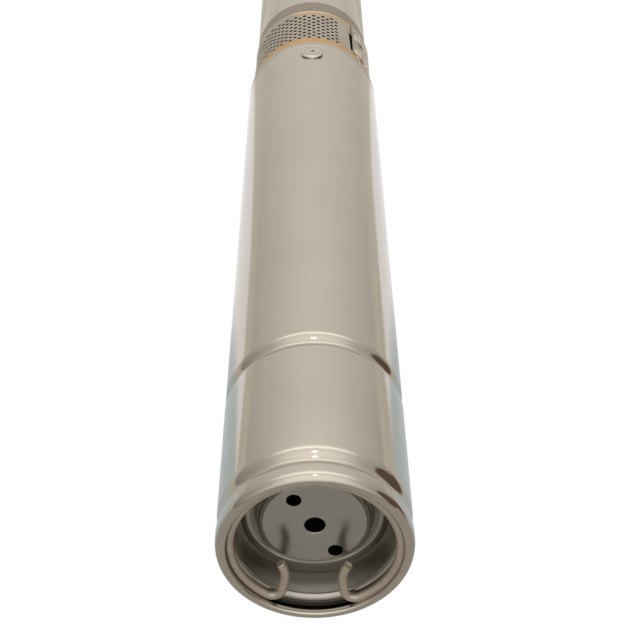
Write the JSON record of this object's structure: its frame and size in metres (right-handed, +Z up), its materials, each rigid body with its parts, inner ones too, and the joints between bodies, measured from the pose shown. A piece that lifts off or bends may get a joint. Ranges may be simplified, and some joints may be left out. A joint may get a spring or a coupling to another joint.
{
  "type": "borehole submersible pump",
  "caption": "Slim borehole pump lying on its side: drawn motor casing with an open base and hooked retaining ring, perforated suction strainer, staged pump shell and discharge head.",
  "frame": {"origin": "on the floor under the middle of the pump's length, the pump lying on its side", "axes": "+Y along the shaft from the motor's open base to the discharge port, +Z up, +X to the right as the base is looked at"},
  "size_m": [0.076, 0.6672, 0.0785],
  "materials": {
    "casing_steel": "satin drawn stainless tube",
    "base_steel": "pressed stainless sheet",
    "wire_steel": "dull spring wire",
    "head_steel": "turned stainless casting",
    "screen_steel": "perforated stainless sheet",
    "screw_steel": "bright stainless screw",
    "cast_brass": "turned brass casting",
    "cage_brass": "pressed brass cage",
    "shaft_steel": "ground stainless bar",
    "bearing_steel": "polished bearing steel",
    "lamination_steel": "stacked electrical sheet",
    "winding_copper": "varnished copper wire",
    "cast_aluminium": "as cast",
    "nitrile_rubber": "black moulded rubber",
    "seal_ceramic": "polished ceramic",
    "seal_carbon": "lapped carbon",
    "impeller_plastic": "moulded plastic",
    "diffuser_plastic": "moulded plastic",
    "valve_plastic": "moulded plastic"
  },
  "bodies": {
    "pump_body": {"base_cover": "base_steel", "cable_cover": "screen_steel", "cable_gland": "nitrile_rubber", "casing_screw_1": "screw_steel", "casing_screw_2": "screw_steel", "casing_screw_3": "screw_steel", "cover_screw_1": "screw_steel", "cover_screw_2": "screw_steel", "diaphragm": "nitrile_rubber", "diffuser_1": "diffuser_plastic", "diffuser_2": "diffuser_plastic", "diffuser_3": "diffuser_plastic", "diffuser_4": "diffuser_plastic", "discharge_head": "head_steel", "head_oring": "nitrile_rubber", "inlet_casting": "cast_brass", "lower_bearing_outer_race": "bearing_steel", "lower_bracket": "cast_aluminium", "motor_casing": "casing_steel", "motor_head": "head_steel", "pump_shell": "casing_steel", "retaining_ring": "wire_steel", "seal_seat": "seal_ceramic", "stator_core": "lamination_steel", "stator_winding": "winding_copper", "strainer_screen": "screen_steel", "upper_bearing_outer_race": "bearing_steel", "valve_guide": "valve_plastic"},
    "rotor": {"motor_shaft": "shaft_steel", "rotor_core": "lamination_steel", "rotor_cage": "cast_aluminium", "lower_bearing_inner_race": "bearing_steel", "upper_bearing_inner_race": "bearing_steel", "seal_face": "seal_carbon", "seal_spring": "wire_steel", "seal_collar": "head_steel", "shaft_coupling": "shaft_steel", "pump_shaft": "shaft_steel", "impeller_1": "impeller_plastic", "impeller_2": "impeller_plastic", "impeller_3": "impeller_plastic", "impeller_4": "impeller_plastic"},
    "lower_cage": {"lower_bearing_cage": "cage_brass"},
    "upper_cage": {"upper_bearing_cage": "cage_brass"},
    "check_valve": {"valve_poppet": "valve_plastic"}
  },
  "joints": [
    {"name": "rotor_spin", "type": "hinge", "parent": "pump_body", "child": "rotor", "pos_m": [0, 0, 0.038], "axis": [0, 1, 0], "continuous": true},
    {"name": "lower_cage_spin", "type": "hinge", "parent": "pump_body", "child": "lower_cage", "pos_m": [0, 0, 0.038], "axis": [0, 1, 0], "continuous": true},
    {"name": "upper_cage_spin", "type": "hinge", "parent": "pump_body", "child": "upper_cage", "pos_m": [0, 0, 0.038], "axis": [0, 1, 0], "continuous": true},
    {"name": "check_valve_lift", "type": "slide", "parent": "pump_body", "child": "check_valve", "axis": [0, 1, 0], "range_m": [0, 0.008]}
  ],
  "couplings": [
    {"joint": "lower_cage_spin", "follows": "rotor_spin", "ratio": 0.397},
    {"joint": "upper_cage_spin", "follows": "rotor_spin", "ratio": 0.397}
  ]
}
